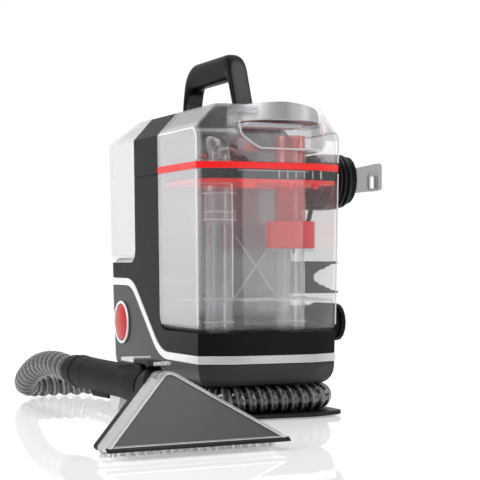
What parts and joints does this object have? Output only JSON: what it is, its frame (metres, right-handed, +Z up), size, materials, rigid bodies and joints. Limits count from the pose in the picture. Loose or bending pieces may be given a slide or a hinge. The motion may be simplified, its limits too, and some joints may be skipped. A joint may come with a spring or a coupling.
{
  "type": "spot extractor",
  "caption": "Portable spot extractor: clear front and rear tanks on a dark body with a top handle, a side cord spool, and a hose with a wand and a wide nozzle.",
  "frame": {"origin": "on the floor under the middle of the base plate", "axes": "+X to the right seen from the front, +Y to the back, +Z up; the dirty tank is at the front (-Y) and the clean tank at the back (+Y)"},
  "size_m": [0.5219, 0.7017, 0.446],
  "materials": {
    "charcoal": "fine moulded texture, satin",
    "base_black": "dark moulded plastic, satin",
    "housing_grey": "metallic grey paint effect, semi gloss",
    "silver_trim": "bright silver, satin gloss",
    "cap_silver": "brushed silver effect",
    "handle_black": "black, semi gloss",
    "tank_clear": "clear, slightly smoked, polished",
    "seal_red": "translucent red, satin",
    "float_red": "red, satin",
    "badge_red": "deep red, glossy",
    "rubber": "black, matt",
    "cord_black": "black, satin",
    "hose_grey": "clear grey hose wall with a dark spiral",
    "motor_steel": "brushed steel",
    "pump_white": "natural white",
    "duct_grey": "mid grey",
    "tool_grey": "metallic grey, semi gloss",
    "button_grey": "light grey",
    "bristle": "translucent white filaments"
  },
  "bodies": {
    "chassis": {"main_frame": "charcoal", "spine_top_cover": "charcoal", "exhaust_grille": "charcoal", "cord_spool": "charcoal", "tool_clip": "charcoal", "lower_cord_hook": "charcoal", "hose_cuff": "charcoal", "wand_body": "charcoal", "base_plate": "base_black", "hose_wrap_pedestal": "base_black", "hose_port_elbow": "base_black", "lower_housing": "housing_grey", "trim_band": "silver_trim", "badge_ring": "silver_trim", "carry_handle": "handle_black", "badge_plate": "badge_red", "foot_front": "rubber", "foot_rear": "rubber", "cord_gland": "rubber", "power_cord_lead": "cord_black", "power_cord_coil": "cord_black", "power_cord_tail": "cord_black", "power_plug": "cord_black", "hose": "hose_grey", "vacuum_motor": "motor_steel", "water_pump": "pump_white", "water_tube": "pump_white", "fan_housing": "duct_grey", "tank_coupling": "duct_grey", "suction_duct": "duct_grey", "inlet_duct": "duct_grey", "accessory_bracket": "button_grey"},
    "dirty_tank_body": {"dirty_tank": "tank_clear", "inlet_standpipe": "tank_clear", "suction_standpipe": "tank_clear", "tank_baffle": "tank_clear", "separator_plate": "seal_red", "lid_skirt": "charcoal", "tank_gasket": "seal_red", "dirty_tank_lid": "tank_clear", "shutoff_column": "float_red", "tank_grip_cap": "cap_silver"},
    "float_body": {"float": "float_red"},
    "tank_latch_body": {"tank_latch": "button_grey"},
    "clean_tank_body": {"clean_tank": "tank_clear"},
    "cap_body": {"clean_tank_cap": "charcoal"},
    "valve_body": {"clean_tank_valve": "pump_white"},
    "impeller_body": {"impeller": "motor_steel", "motor_shaft": "motor_steel"},
    "power_button_body": {"power_button": "button_grey"},
    "trigger_body": {"wand_trigger": "button_grey"},
    "tool_latch_body": {"wand_latch": "charcoal", "wand_button": "button_grey"},
    "nozzle_body": {"nozzle_frame": "charcoal", "nozzle_panel": "tool_grey", "nozzle_window": "tank_clear", "bristle_strip": "bristle", "spray_tip": "tank_clear"}
  },
  "joints": [
    {"name": "dirty_tank_slide", "type": "slide", "parent": "chassis", "child": "dirty_tank_body", "axis": [0, -1, 0], "range_m": [0, 0.2]},
    {"name": "float_lift", "type": "slide", "parent": "dirty_tank_body", "child": "float_body", "axis": [0, 0, 1], "range_m": [0, 0.042]},
    {"name": "tank_latch_squeeze", "type": "hinge", "parent": "dirty_tank_body", "child": "tank_latch_body", "pos_m": [-0.001, -0.148, 0.3455], "axis": [-1, 0, 0], "range_deg": [0, 6], "stiffness_Nm_per_rad": 0.15, "springref_deg": -5.73},
    {"name": "clean_tank_slide", "type": "slide", "parent": "chassis", "child": "clean_tank_body", "axis": [0, 1, 0], "range_m": [0, 0.2]},
    {"name": "clean_tank_cap_hinge", "type": "hinge", "parent": "clean_tank_body", "child": "cap_body", "pos_m": [0.047, 0.1006, 0.371], "axis": [-1, 0, 0], "range_deg": [0, 100]},
    {"name": "clean_tank_valve_press", "type": "slide", "parent": "clean_tank_body", "child": "valve_body", "axis": [0, 1, 0], "range_m": [0, 0.003], "stiffness_N_per_m": 300, "springref_m": -0.002},
    {"name": "impeller_spin", "type": "hinge", "parent": "chassis", "child": "impeller_body", "pos_m": [0, 0.105, 0.07], "axis": [0, 0, 1], "continuous": true},
    {"name": "power_button_press", "type": "slide", "parent": "chassis", "child": "power_button_body", "axis": [0, 0, -1], "range_m": [0, 0.0025], "stiffness_N_per_m": 600, "springref_m": -0.001},
    {"name": "trigger_pull", "type": "hinge", "parent": "chassis", "child": "trigger_body", "pos_m": [-0.215, -0.231, 0.045], "axis": [-1, 0, 0], "range_deg": [0, 6], "stiffness_Nm_per_rad": 0.3, "springref_deg": -5.73},
    {"name": "tool_latch_press", "type": "hinge", "parent": "chassis", "child": "tool_latch_body", "pos_m": [-0.215, -0.314, 0.0815], "axis": [-1, 0, 0], "range_deg": [0, 4], "stiffness_Nm_per_rad": 0.3, "springref_deg": -5.73},
    {"name": "nozzle_pull", "type": "slide", "parent": "chassis", "child": "nozzle_body", "axis": [0, -1, 0], "range_m": [0, 0.08]}
  ]
}
